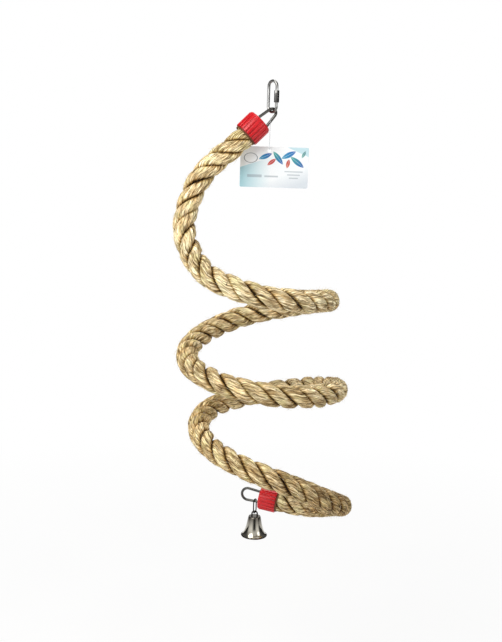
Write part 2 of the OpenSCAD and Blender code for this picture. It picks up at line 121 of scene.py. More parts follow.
# The rope's middle line from cap to cap, in millimetres, and both ends' directions
def ropeRoute(c, top):
    face, axis = np.array(top["face"]), aimedAxis(top["lift"], top["heading"])
    mouth = face - c["capLength"] * axis
    start = face - c["seat"] * axis
    middle = mouth + c["radius"] * np.array(c["axis"])

    def coilPoint(angle):
        x, a, turn = (angle - 180) / 90, math.radians(angle), (angle - 180) / 360
        r = c["radius"] * tableValue(c["reach"], x)
        drop = -c["drop"] * tableValue(c["fall"], x)
        return middle + turn * np.array([c["drift"], -c["forwardDrift"], 0]) + np.array(
            [r * math.cos(a), r * math.sin(a), drop])

    def coilTangent(angle):
        return unit(coilPoint(angle + 0.5) - coilPoint(angle - 0.5))

    leadTop = start - c["ropeAcross"] * axis
    knots = [leadTop] + [mouth + c["radius"] * np.array(k) for k in c["lead"]] + [coilPoint(c["start"])]
    slopes = [-axis * np.linalg.norm(knots[1] - knots[0])]
    slopes += [(after - before) / 2 for before, after in zip(knots[:-2], knots[2:])]
    slopes += [coilTangent(c["start"]) * np.linalg.norm(knots[-1] - knots[-2])]
    ends, lead, steps = c["endSteps"], c["leadSteps"], c["coilSteps"]
    points = [start + (leadTop - start) * k / ends for k in range(ends)]
    for i in range(len(knots) - 1):
        points += [cubic(*knots[i:i + 2], *slopes[i:i + 2], k / lead) for k in range(lead)]
    points += [coilPoint(c["start"] + (c["end"] - c["start"]) * k / steps) for k in range(steps)]
    endAxis, endCoil = coilTangent(c["end"]), coilPoint(c["end"])
    points += [endCoil + c["ropeAcross"] * endAxis * k / ends for k in range(ends + 1)]
    return np.array(points), axis, endAxis


routePoints, upperAxis, lowerAxis = ropeRoute(coil, upperEnd)
lowerFace = routePoints[-1] + coil["seat"] * lowerAxis
lowerEnd = {
    "face": tuple(lowerFace),
    "lift": math.degrees(math.asin(lowerAxis[2])),
    "heading": math.degrees(math.atan2(lowerAxis[1], lowerAxis[0])),
    "spin": 0,
}
print("route", len(routePoints), "points, lower end at", [round(float(v), 2) for v in lowerFace])


# Small tools for modelling
def clearSelection():
    if bpy.context.object and bpy.context.object.mode != "OBJECT":
        bpy.ops.object.mode_set(mode="OBJECT")
    bpy.ops.object.select_all(action="DESELECT")


def activate(piece):
    clearSelection()
    piece.select_set(True)
    bpy.context.view_layer.objects.active = piece


def editPiece(piece, kind):
    activate(piece)
    bpy.ops.object.mode_set(mode="EDIT")
    bpy.ops.mesh.select_mode(type=kind)


def leaveEdit():
    bpy.ops.object.mode_set(mode="OBJECT")


# Turns every face outwards, then leaves edit mode
def faceOutwards():
    bpy.ops.mesh.select_all(action="SELECT")
    bpy.ops.mesh.normals_make_consistent(inside=False)
    leaveEdit()


# Selects the faces, edges or vertices that pass the test
def pick(piece, group, test):
    bpy.ops.mesh.select_all(action="DESELECT")
    mesh = bmesh.from_edit_mesh(piece.data)
    for item in getattr(mesh, group):
        if test(item):
            item.select_set(True)
    mesh.select_flush_mode()
    bmesh.update_edit_mesh(piece.data)


def settle(piece):
    activate(piece)
    bpy.ops.object.transform_apply(location=True, rotation=True, scale=True)


# Puts local zero at a place in millimetres and local +Z along a direction, then settles it
def aimPiece(piece, face=(0, 0, 0), heading=0, lift=90, spin=0):
    turns = ((heading, "Z"), (90 - lift, "Y"), (spin, "Z"))
    level, tip, own = [Matrix.Rotation(math.radians(angle), 4, axis) for angle, axis in turns]
    piece.matrix_world = Matrix.Translation(Vector(face) * mm) @ level @ tip @ own
    settle(piece)


def smooth(piece, angle):
    activate(piece)
    bpy.ops.object.shade_smooth_by_angle(angle=math.radians(angle))


def finishPiece(piece, name, body, slot, material, *nodes):
    piece.name = name
    piece.data.name = name
    piece.data.materials.clear()
    piece.data.materials.append(material)
    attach(piece, body)
    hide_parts(*nodes)
    print("piece", name, len(piece.data.polygons), "faces")


# A turned shape: a circle that is extruded and resized from ring to ring, (radius, height) in mm
def turnedPiece(rings, sides, closed):
    clearSelection()
    radius, height = rings[0]
    bpy.ops.mesh.primitive_circle_add(
        vertices=sides, radius=radius * mm, location=(0, 0, height * mm), fill_type="NOTHING")
    piece = bpy.context.object
    settle(piece)
    editPiece(piece, "VERT")
    bpy.ops.mesh.select_all(action="SELECT")
    if closed:
        bpy.ops.mesh.edge_face_add()
    for (radius, height), (nextRadius, nextHeight) in zip(rings[:-1], rings[1:]):
        grow, rise = nextRadius / radius, (nextHeight - height) * mm
        bpy.ops.mesh.extrude_region_move(TRANSFORM_OT_translate={"value": (0, 0, rise)})
        bpy.ops.transform.resize(value=(grow, grow, 1), center_override=(0, 0, nextHeight * mm))
    if closed:
        bpy.ops.mesh.edge_face_add()
    faceOutwards()
    return piece


# Joins the two open rims of a turned ring
def joinRims(piece):
    editPiece(piece, "VERT")
    pick(piece, "verts", lambda v: v.is_boundary)
    bpy.ops.mesh.bridge_edge_loops()
    faceOutwards()


# Drills a round hole along Z, in millimetres
def drillHole(piece, radius, depth, place, sides):
    clearSelection()
    bpy.ops.mesh.primitive_cylinder_add(
        vertices=sides, radius=radius * mm, depth=depth * mm, location=[v * mm for v in place])
    drill = bpy.context.object
    settle(drill)
    activate(piece)
    hole = piece.modifiers.new("hole", "BOOLEAN")
    hole.operation, hole.solver, hole.object = "DIFFERENCE", "EXACT", drill
    bpy.ops.object.modifier_apply(modifier=hole.name)
    bpy.data.objects.remove(drill)


# A wire bent along points in millimetres, from a curve with a round bevel
def bentWire(points, across, closed, sides):
    clearSelection()
    line = bpy.data.curves.new("wire", "CURVE")
    line.dimensions = "3D"
    line.bevel_depth, line.bevel_resolution = across * mm / 2, sides
    line.use_fill_caps = not closed
    run = line.splines.new("POLY")
    run.points.add(len(points) - 1)
    for spot, p in zip(run.points, points):
        spot.co = (p[0] * mm, p[1] * mm, p[2] * mm, 1)
    run.use_cyclic_u = closed
    piece = bpy.data.objects.new("wire", line)
    bpy.context.scene.collection.objects.link(piece)
    activate(piece)
    bpy.ops.object.convert(target="MESH")
    piece = bpy.context.object
    editPiece(piece, "VERT")
    bpy.ops.mesh.select_all(action="SELECT")
    bpy.ops.mesh.remove_doubles(threshold=0.01 * mm)
    faceOutwards()
    smooth(piece, 50)
    return piece


def arcPoints(centre, radius, first, last, count):
    angles = [math.radians(first + (last - first) * k / count) for k in range(count + 1)]
    return [(centre[0] + radius * math.cos(a), 0, centre[1] + radius * math.sin(a)) for a in angles]


# Cuts the corners off a line of points
def rounded(points, times):
    for _ in range(times):
        cutPoints = [points[0]]
        for a, b in zip(points[:-1], points[1:]):
            a, b = np.array(a), np.array(b)
            cutPoints += [tuple(0.75 * a + 0.25 * b), tuple(0.25 * a + 0.75 * b)]
        points = cutPoints + [points[-1]]
    return points


# Colour and material tools: sRGB hex turns linear, plain levels stay as they are
def linearColour(colour):
    if not isinstance(colour, str):
        return list(colour) + [1]
    parts = [int(colour[k:k + 2], 16) / 255 for k in (1, 3, 5)]
    return [p / 12.92 if p <= 0.04045 else ((p + 0.055) / 1.055) ** 2.4 for p in parts] + [1]


# Adds one node: inputs are values or what they are linked from, stops fill a ramp, settings are its own
def addNode(tree, kind, inputs=None, stops=(), **settings):
    node = tree.nodes.new("ShaderNode" + kind)
    count = len(tree.nodes)
    node.location = (220 * (count % 12), -260 * (count // 12))
    for name, value in settings.items():
        setattr(node, name, value)
    for name, value in (inputs or {}).items():
        if isinstance(value, bpy.types.Node):
            value = next(socket for socket in value.outputs if socket.enabled)
        if isinstance(value, bpy.types.NodeSocket):
            tree.links.new(value, node.inputs[name])
        else:
            node.inputs[name].default_value = value
    if stops:
        elements = node.color_ramp.elements
        for place, _ in stops[1:-1]:
            elements.new(place)
        elements[0].position, elements[-1].position = stops[0][0], stops[-1][0]
        for element, (_, colour) in zip(elements, stops):
            element.color = linearColour(colour)
    return node


def startMaterial(name):
    material = bpy.data.materials.new(name)
    material.use_nodes = True
    tree = material.node_tree
    tree.nodes.clear()
    add = partial(addNode, tree)
    return material, add, add("TexCoord").outputs["Object"]


def finishMaterial(material, **inputs):
    add = partial(addNode, material.node_tree)
    surface = add("BsdfPrincipled", {name.replace("_", " "): inputs[name] for name in inputs})
    add("OutputMaterial", {"Surface": surface})
    return material


# Manila fibre: long pale golden fibres, dull and a little waxy, with painted shade darkening them down in the
# lay
manila = {
    # streaks along the yarns: width and length in mm, detail, roughness
    "broad": (2.2, 26, 3, 0.6), "fine": (0.95, 15, 2, 0.6),
    "hair": (0.65, 9.5, 2, 0.7), "husk": (1.1, 4, 1, 0.5),
    "fibre": ((0.34, "#A28E6C"), (0.43, "#BCAA87"), (0.50, "#CDBE9E"), (0.57, "#DBCFB2"), (0.66, "#E9E0CB")),
    # what multiplies the fibre's colour: how much, and its levels
    "layers": {
        "fine": (0.9, (
            (0.38, (0.28, 0.22, 0.15)), (0.45, (0.76, 0.71, 0.63)),
            (0.52, (1.08, 1.07, 1.04)), (0.61, (1.34, 1.33, 1.29)))),
        "hair": (0.85, (
            (0.38, (0.28, 0.22, 0.15)), (0.46, (0.86, 0.83, 0.78)),
            (0.54, (1.11, 1.11, 1.09)), (0.63, (1.44, 1.43, 1.39)))),
        "weather": (0.9, (
            (0.36, (0.80, 0.74, 0.62)), (0.5, (0.98, 0.96, 0.92)), (0.64, (1.08, 1.08, 1.06)))),
        "tinge": (0.8, (  # ruddy and green
            (0.36, (1.04, 0.95, 0.84)), (0.5, (1, 1, 1)), (0.64, (0.95, 1.0, 0.86)))),
        "way": (1.0, (  # along the rope: painted light and shade, paler at its top, darker and ruddier below
            (0.0, (1.08, 1.06, 1.0)), (0.06, (1.34, 1.36, 1.38)), (0.13, (1.12, 1.14, 1.15)),
            (0.25, (1.06, 1.06, 1.04)), (0.42, (0.98, 0.94, 0.85)), (0.57, (1.05, 1.05, 1.04)),
            (0.64, (0.86, 0.86, 0.85)), (0.72, (1.06, 1.01, 0.89)), (0.83, (0.88, 0.84, 0.77)),
            (0.87, (0.70, 0.63, 0.53)), (0.93, (0.68, 0.61, 0.51)), (0.98, (0.94, 0.91, 0.86)))),
        # painted shade: darker down in the lay between the strands and between yarns
        "depth": (1.0, ((0.0, "#3E2E19"), (0.22, "#8C7650"), (0.48, "#DACAAA"), (0.78, "#FFFFFF"))),
    },
    "ropeLength": 1586, "relief": 1.1,
}


def manilaMaterial(m):
    material, add, place = startMaterial("manilaFibre")
    split = add("SeparateXYZ", {"Vector": add("UVMap", uv_map="yarns")})
    along = split.outputs["Y"]  # in millimetres, as across is
    strand, depth = [add("Attribute", attribute_name=name).outputs["Fac"] for name in ("strand", "depth")]
    yarn = add("CombineXYZ", {"X": split.outputs["X"], "Y": along, "Z": strand})

    def fibres(width, length, detail, rough):  # streaks, other ones on each strand
        spot = add("VectorMath", {0: yarn, 1: (1 / width, 1 / length, 17.3)}, operation="MULTIPLY")
        return add("TexNoise", {"Vector": spot, "Scale": 1.0, "Detail": detail, "Roughness": rough})

    sources = {
        "fine": fibres(*m["fine"]),
        "hair": fibres(*m["hair"]),
        "weather": add("TexNoise", {"Vector": place, "Scale": 42.0, "Detail": 3.0}),  # 24 mm
        "tinge": add("TexNoise", {"Vector": place, "Scale": 90.0, "Detail": 2.0}),  # 11 mm
        # share of the rope's length, for the painted light and shade along it
        "way": add("Math", {0: along, 1: 1 / m["ropeLength"]}, operation="MULTIPLY"),
        "depth": depth,
    }
    colour = add("ValToRGB", {"Fac": fibres(*m["broad"])}, m["fibre"])
    for name, (share, levels) in m["layers"].items():
        layer = add("ValToRGB", {"Fac": sources[name]}, levels)
        colour = add("Mix", {0: share, 6: colour, 7: layer}, data_type="RGBA", blend_type="MULTIPLY")
    # Dark specks of husk left in the fibre
    husk = add("ValToRGB", {"Fac": fibres(*m["husk"])}, ((0.70, (0, 0, 0)), (0.73, (1, 1, 1))))
    colour = add("Mix", {0: husk, 6: colour, 7: linearColour("#4A3618")}, data_type="RGBA")
    relief = add("Mix", {0: 0.4, 2: sources["fine"], 3: sources["hair"]})
    bump = add("Bump", {"Strength": 0.48, "Distance": m["relief"] * mm, "Height": relief})
    return finishMaterial(
        material, Base_Color=colour, Normal=bump, Roughness=0.78, IOR=1.45, Specular_IOR_Level=0.25)


# A plain surface: its tone follows a noise, and so does its relief, strength and height in mm
def grainedMaterial(name, scale, detail, tones, relief=None, **inputs):
    material, add, place = startMaterial(name)
    grain = add("TexNoise", {"Vector": place, "Scale": scale, "Detail": detail})
    inputs["Base_Color"] = add("ValToRGB", {"Fac": grain}, tones)
    if relief:
        strength, height = relief
        inputs["Normal"] = add("Bump", {"Strength": strength, "Distance": height * mm, "Height": grain})
    return finishMaterial(material, **inputs)


# Moulded vinyl: deep glossy red with faint flow marks of 6 mm and scuffs of 1 mm
def vinylMaterial():
    material, add, place = startMaterial("mouldedRedVinyl")
    flow = add("TexNoise", {"Vector": place, "Scale": 180.0, "Detail": 3.0})
    scuff = add("TexNoise", {"Vector": place, "Scale": 900.0, "Detail": 4.0})
    crest = add("Attribute", attribute_name="crest").outputs["Fac"]
    tone = add("ValToRGB", {"Fac": flow}, ((0.3, "#BE1019"), (0.55, "#CD161E"), (0.8, "#D81D25")))
    # Painted shade between the ribs, darker down in their valleys
    ribShade = add("ValToRGB", {"Fac": crest}, ((0.0, "#B9A9A6"), (0.5, "#EDE7E6"), (0.9, "#FFFFFF")))
    shade = add("Mix", {0: 1.0, 6: tone, 7: ribShade}, data_type="RGBA", blend_type="MULTIPLY")
    gloss = add("MapRange", {
        "Value": scuff, "From Min": 0.3, "From Max": 0.7, "To Min": 0.24, "To Max": 0.34})
    bump = add("Bump", {"Strength": 0.12, "Distance": 0.2 * mm, "Height": scuff})
    return finishMaterial(
        material, Base_Color=shade, Roughness=gloss, Normal=bump, IOR=1.5, Specular_IOR_Level=0.4)


# Plated, drawn or cast metal: clouds of 22 mm in its tone, a grain in its gloss, and darker bands by height,
# painted shade at the bell's lip among them.
# Each band is a colour that comes in from one height to another, in millimetres, up to a share
def metalMaterial(name, tones, gloss, grain, bumpiness, bands=()):
    material, add, place = startMaterial(name)
    cloud = add("TexNoise", {"Vector": place, "Scale": 45.0, "Detail": 1.0})
    fine = add("TexNoise", {"Vector": place, "Scale": grain, "Detail": 1.0})
    height = add("SeparateXYZ", {"Vector": place}).outputs["Z"]
    colour = add("ValToRGB", {"Fac": cloud}, ((0.35, tones[0]), (0.62, tones[1])))
    for start, full, share, bandColour in bands:
        bandShare = add("MapRange", {
            "Value": height, "From Min": start * mm, "From Max": full * mm, "To Max": share})
        colour = add("Mix", {0: bandShare, 6: colour, 7: linearColour(bandColour)}, data_type="RGBA")
    roughness = add("MapRange", {
        "Value": fine, "From Min": 0.3, "From Max": 0.7, "To Min": gloss[0], "To Max": gloss[1]})
    bump = add("Bump", {"Strength": bumpiness, "Distance": 0.2 * mm, "Height": fine})
    return finishMaterial(material, Base_Color=colour, Roughness=roughness, Normal=bump, Metallic=1.0)


manilaFibre = manilaMaterial(manila)
redVinyl = vinylMaterial()
# Loose fibre ends: the same fibre in tones of 4 mm, made paler than the rope as painted light where they
# stand alone
looseFibre = grainedMaterial(
    "looseManilaFibre", 260.0, 2.0, ((0.3, "#B39A68"), (0.5, "#E0CDA0"), (0.65, "#FAF2DC")),
    Roughness=0.7, IOR=1.45, Specular_IOR_Level=0.25)
# Crepe tape: brown paper tape with fine cross wrinkles of 0.7 mm, dull
crepeTape = grainedMaterial(
    "brownCrepeTape", 1400.0, 3.0, ((0.3, "#4A2F17"), (0.55, "#6B4725"), (0.75, "#8A6236")), (0.6, 0.4),
    Roughness=0.75, IOR=1.45)
# Clear nylon filament with a haze of 2 mm: drawn smooth, all but unseen save for its pale edges
nylon = grainedMaterial(
    "clearNylon", 500.0, 2.0, ((0.3, "#DDE4E8"), (0.7, "#F6F9FA")),
    Roughness=0.12, IOR=1.53, Transmission_Weight=0.85)
# Zinc, nickel, steel and aluminium, bright to dark; the nut and the nickel wires are darkened copies of their
# plating, painted shade for the dark reflections they show
zincLink = metalMaterial("zincPlatedWire", ("#BFBFBD", "#D6D6D4"), (0.18, 0.26), 60.0, 0.0, (
    (-9, -3.5, 0.85, "#6E6D6A"), (-24.5, -29, 0.85, "#6E6D6A")))  # darker grey on both bows
# Painted shade: the link's zinc plating, made dark for the nut
zincNut = metalMaterial("zincPlatedNut", ("#62615F", "#7A7977"), (0.16, 0.22), 60.0, 0.0)
# Painted shade: nickel plating far darker than the bell's, for the eyes and the clapper's wire
nickelWire = metalMaterial("nickelPlatedWire", ("#494845", "#62615D"), (0.12, 0.18), 60.0, 0.0)
# Painted shade: a still darker copy of the nickel wire, for the bell's link
darkWire = metalMaterial("shadedNickelWire", ("#1B1917", "#2E2B28"), (0.14, 0.22), 60.0, 0.0)
nickelBell = metalMaterial("nickelPlatedBell", ("#B4AFA2", "#CBC6B9"), (0.12, 0.18), 60.0, 0.02, (
    (-551.3, -535.3, 0.86, "#4A453F"),  # darker from the middle up to the shoulder
    (-557.1, -557.5, 1.0, "#2E2A26")))  # painted shade: a dark line at the lip, for the shadow inside the bell
tarnishedCrown = metalMaterial("tarnishedSteel", ("#1D1410", "#30231D"), (0.3, 0.5), 1500.0, 0.2)
castBall = metalMaterial("castSteelBall", ("#5A5958", "#7C7B79"), (0.35, 0.55), 900.0, 0.4)
crimpedAluminium = metalMaterial("crimpedAluminium", ("#9B9D9F", "#C4C6C8"), (0.3, 0.45), 1200.0, 0.3)
galvanisedCore = metalMaterial("galvanisedCore", ("#7D8082", "#A3A6A8"), (0.35, 0.55), 900.0, 0.3)
print("materials made")


# The rope: three strands, each of yarns laid the other way, so that the yarns run with the rope
rope = {
    "lay": 63,  # length of one full turn of a strand
    "outer": 12.5, "radialHalf": 5.75, "sideHalf": 7.7, "fullness": 2.3,  # a strand's section
    "yarns": 15, "pointsPerYarn": 5, "steps": 1300, "yarnTurn": 1.65,
    "yarnRise": 0.36, "yarnRound": 0.8, "heldRise": 0.35, "highYarn": 1.2,
    "held": 13.5, "eased": 22,  # how far in from an end the caps hold it, and where it is loose again
    "endRadius": 12.35, "looseRadius": 13.25,
    "laySway": (0.16, 34), "yarnHeight": (0.7, 110), "yarnSway": (0.09, 120),  # waves: size, how many
    "swell": (0.03, 60), "spread": (0.05, 60), "wander": (0.34, 60),
    "layBottom": 8.0, "layDepth": 3.8, "betweenYarns": 0.14,  # where painted shade darkens the lay, and between yarns
    "mapWidth": 36,
}


# Slow random wave along the rope, from values at evenly spread places
def slowWave(draw, wave, places):
    size, spots = wave
    values = draw.uniform(-1, 1, spots + 3)
    x = places * spots
    i = np.floor(x).astype(int)
    f = x - i
    f = f * f * (3 - 2 * f)
    return size * (values[i] * (1 - f) + values[i + 1] * f)


# Evenly spaced places on the route, each with its direction and two sides that never twist
def evenRoute(points, steps):
    run = np.concatenate([[0], np.cumsum(np.linalg.norm(np.diff(points, axis=0), axis=1))])
    s = np.linspace(0, run[-1], steps + 1)
    line = np.stack([np.interp(s, run, points[:, k]) for k in range(3)], 1)
    ahead = np.gradient(line, axis=0)
    ahead /= np.linalg.norm(ahead, axis=1)[:, None]
    side = np.zeros_like(line)
    side[0] = unit(np.cross(ahead[0], [0.3, 0.2, 1]))
    for k in range(1, len(line)):
        side[k] = unit(side[k - 1] - ahead[k] * (side[k - 1] @ ahead[k]))
    return s, line, ahead, side, np.cross(ahead, side)


runLength, ropeLine, ropeAhead, ropeSide, ropeUp = evenRoute(routePoints, rope["steps"])
ropeLength = runLength[-1]
print("rope is", round(ropeLength), "mm long")


# One strand: its points, how open they lie to the light, and how far they are from the rope's middle
def strandSurface(r, number, draw):
    share = runLength / ropeLength
    turn = 2 * math.pi * (runLength / r["lay"] + number / 3) + slowWave(draw, r["laySway"], share)
    columns = r["yarns"] * r["pointsPerYarn"]
    j = np.arange(columns)
    yarn, inYarn = j // r["pointsPerYarn"], (j % r["pointsPerYarn"]) / r["pointsPerYarn"]
    free = np.clip((np.minimum(runLength, ropeLength - runLength) - r["held"]) / r["eased"], 0, 1)
    free = free * free * (3 - 2 * free)
    heights = np.stack([1 + slowWave(draw, r["yarnHeight"], share) for _ in range(r["yarns"])], 1)
    sway = np.stack([slowWave(draw, r["yarnSway"], share) for _ in range(r["yarns"])], 1)
    around = 2 * np.pi * j[None, :] / columns - r["yarnTurn"] * turn[:, None] + sway[:, yarn]
    radial = r["radialHalf"] * (1 + slowWave(draw, r["swell"], share) * free)
    sideways = r["sideHalf"] * (1 + slowWave(draw, r["spread"], share) * free)
    offset = r["outer"] - r["radialHalf"] + slowWave(draw, r["wander"], share) * free
    m, cosA, sinA = r["fullness"], np.cos(around), np.sin(around)
    reach = (np.abs(cosA / radial[:, None]) ** m + np.abs(sinA / sideways[:, None]) ** m) ** (-1 / m)
    bump = r["yarnRise"] * heights[:, yarn] * (1 - (2 * inYarn - 1)[None, :] ** 2) ** r["yarnRound"]
    reach += bump * (r["heldRise"] + (1 - r["heldRise"]) * free)[:, None] - r["yarnRise"]
    out, over = offset[:, None] + reach * cosA, reach * sinA
    limit = r["endRadius"] + (r["looseRadius"] - r["endRadius"]) * free
    squeeze = np.minimum(1, limit[:, None] / np.hypot(out, over))
    out, over = out * squeeze, over * squeeze
    radialWay = np.cos(turn)[:, None] * ropeSide + np.sin(turn)[:, None] * ropeUp
    sideWay = np.cos(turn)[:, None] * ropeUp - np.sin(turn)[:, None] * ropeSide
    points = (ropeLine[:, None, :] + out[:, :, None] * radialWay[:, None, :]
              + over[:, :, None] * sideWay[:, None, :])
    far = np.hypot(out, over)
    # How deep each point lies in the lay, for the painted shade there, a little more between yarns
    depth = np.clip((far - r["layBottom"]) / r["layDepth"], 0, 1)
    depth -= r["betweenYarns"] * (1 - bump / (r["yarnRise"] * r["highYarn"]))
    return points, np.clip(depth, 0, 1), far


def linkMesh(name, verts, faces):
    mesh = bpy.data.meshes.new(name)
    mesh.from_pydata((np.asarray(verts) * mm).tolist(), [], faces)
    piece = bpy.data.objects.new(name, mesh)
    bpy.context.scene.collection.objects.link(piece)
    return piece


# A closed tube from rings of points, with the yarn map in millimetres on its faces
def tubeFromRings(name, points, mapWidth):
    rings, columns = points.shape[:2]
    ids = np.arange(rings * columns).reshape(rings, columns)
    nextIds = np.roll(ids, -1, axis=1)
    quads = np.stack([ids[:-1], nextIds[:-1], nextIds[1:], ids[1:]], -1).reshape(-1, 4)
    verts = np.concatenate([points.reshape(-1, 3), [points[0].mean(0), points[-1].mean(0)]])
    first, last = rings * columns, rings * columns + 1
    startFan = np.stack([nextIds[0], ids[0], np.full(columns, first)], -1)
    endFan = np.stack([ids[-1], nextIds[-1], np.full(columns, last)], -1)
    piece = linkMesh(name, verts, quads.tolist() + startFan.tolist() + endFan.tolist())
    k, row = np.tile(np.arange(columns), rings - 1), np.repeat(np.arange(rings - 1), columns)
    w, here, ahead = mapWidth / columns, runLength[row], runLength[row + 1]
    corners = [(k * w, here), ((k + 1) * w, here), ((k + 1) * w, ahead), (k * w, ahead)]
    uv = np.stack([np.stack(corner, -1) for corner in corners], 1).reshape(-1, 2)
    fans = np.zeros((columns * 6, 2))
    fans[:, 0] = np.tile(np.arange(columns * 3) * w / 3, 2)
    layer = piece.data.uv_layers.new(name="yarns")
    layer.data.foreach_set("uv", np.concatenate([uv, fans]).astype(np.float32).ravel())
    piece.data.validate()
    return piece


def addAttribute(piece, name, values):
    attribute = piece.data.attributes.new(name, "FLOAT", "POINT")
    attribute.data.foreach_set("value", np.asarray(values, np.float32))


# Finishes a piece that runs along the coil from the upper end to the lower: its material, its place baked in,
# the CAD nodes it replaces hidden
def finishStretched(piece, slot, material, *nodes):
    piece.data.materials.append(material)
    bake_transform(piece)
    if nodes:
        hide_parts(*nodes)
    print("piece", piece.name, len(piece.data.polygons), "faces")


ropeDraw = np.random.default_rng(41)
strandPoints, strandFar = [], []
for number in range(3):
    points, depth, far = strandSurface(rope, number, ropeDraw)
    strandPoints.append(points)
    strandFar.append(far)
    strand = tubeFromRings("strand" + "ABC"[number], points, rope["mapWidth"])
    addAttribute(strand, "depth", np.concatenate([depth.ravel(), [0, 0]]))
    addAttribute(strand, "strand", np.full(depth.size + 2, number + 1.0))
    strand.data.shade_smooth()
    finishStretched(strand, "rope", manilaFibre, *(["rope"] if number == 0 else []))


# Loose fibre ends that stand off the strands, and strays that lie across them
tufts = {
    "standing": 3200, "lying": 2600, "length": (3, 9), "lyingLength": (9, 22), "lyingReach": 0.8,
    "across": 0.23, "thickness": (0.7, 1.2), "taper": 0.7, "spans": 4,
    "crest": 11.9, "clearOfEnds": 20, "ringsLeft": 24, "sunk": 0.25,  # where they grow
    "lyingLift": (0.02, 0.10), "standingLift": (1.6, 3.2, 1.1), "aside": (0.16, 0.30),
    "bowAcross": 0.22, "bowOut": 0.15, "sag": (0.55, 0.05),
}


def fibreTufts(t, draw):
    total, spans = t["standing"] + t["lying"], t["spans"]
    rows, left = [], t["ringsLeft"]
    rings, columns = strandPoints[0].shape[:2]
    while len(rows) < total:
        number, i, j = draw.integers(0, 3), draw.integers(left, rings - left), draw.integers(0, columns)
        fromEnd = min(runLength[i], ropeLength - runLength[i])
        if strandFar[number][i, j] < t["crest"] or fromEnd < t["clearOfEnds"]:
            continue
        here = strandPoints[number][i, j]
        ahead = unit(strandPoints[number][i + 1, j] - strandPoints[number][i - 1, j])
        out = unit(here - ropeLine[i])
        lengths = t["length" if len(rows) < t["standing"] else "lyingLength"]
        rows.append((here - t["sunk"] * out, ahead * draw.choice([-1, 1]), out, draw.uniform(*lengths)))
    starts, ways, outs, lengths = [np.array(column) for column in zip(*rows)]
    lying = np.arange(total) >= t["standing"]
    a, b, most = t["standingLift"]
    lift = np.where(lying, draw.uniform(*t["lyingLift"], total), draw.beta(a, b, total) * most)
    aside = draw.normal(0, 1, total) * np.where(lying, *t["aside"])
    across = np.cross(outs, ways)
    way = ways + lift[:, None] * outs + aside[:, None] * across
    way /= np.linalg.norm(way, axis=1)[:, None]
    bow = draw.normal(0, t["bowAcross"], total)[:, None] * across
    bow += (draw.normal(0, t["bowOut"], total) - np.where(lying, *t["sag"]))[:, None] * outs
    sideA = np.cross(way, outs)
    sideA /= np.linalg.norm(sideA, axis=1)[:, None]
    sideB = np.cross(way, sideA)
    thick = t["across"] / 2 * draw.uniform(*t["thickness"], total)
    reach = lengths * np.where(lying, t["lyingReach"], 1)
    verts = []
    for u in np.linspace(0, 1, spans + 1):
        centre = starts + reach[:, None] * (way * u + bow * u * u * 0.5)
        radius = (thick * (1 - t["taper"] * u))[:, None]
        turns = [2 * math.pi * k / 3 for k in range(3)] if u < 1 else []
        verts += [centre + radius * (math.cos(a) * sideA + math.sin(a) * sideB) for a in turns] or [centre]
    count = len(verts)
    quads = [(3 * n + a, 3 * n + b, 3 * n + 3 + b, 3 * n + 3 + a)
             for n in range(spans - 1) for a, b in ((0, 1), (1, 2), (2, 0))]
    tips = [(count - 4 + a, count - 4 + b, count - 1) for a, b in ((0, 1), (1, 2), (2, 0))]
    faces = [tuple(base + v for v in face) for base in range(0, total * count, count)
             for face in quads + tips + [(2, 1, 0)]]
    piece = linkMesh("looseFibres", np.stack(verts, 1).reshape(-1, 3), faces)
    editPiece(piece, "VERT")
    faceOutwards()
    piece.data.shade_smooth()
    return piece


finishStretched(fibreTufts(tufts, np.random.default_rng(7)), "rope", looseFibre)

# The springy core bends with the rope and goes on into both ferrules
core = {"across": 4, "gripped": 6, "every": 8}
corePath = np.concatenate([
    [routePoints[0] + core["gripped"] * upperAxis], ropeLine[::core["every"]],
    [routePoints[-1] + core["gripped"] * lowerAxis]])
coreWire = bentWire(corePath, core["across"], False, 2)
coreWire.name = "springyCore"
finishStretched(coreWire, "core_steel", galvanisedCore, "steel_core")


# Ribbed caps: a turned shell, ribs raised from its side, all edges rounded
cap = {
    "ribs": 20, "sidesPerRib": 4, "root": 14.1, "bore": 13.2, "length": 22.3, "endWall": 2.5,
    "edge": 1.3, "edgeAngles": (0.0, 0.35, 0.75, 1.17, math.pi / 2), "rim": 0.25, "inRim": 0.2,
    "ribRise": 0.7, "ribFrom": 0.6, "ribTo": 1.7, "ribBevel": 0.62,
    "legHole": 3.34, "drillDepth": 8, "drillMiddle": -1.25,
}


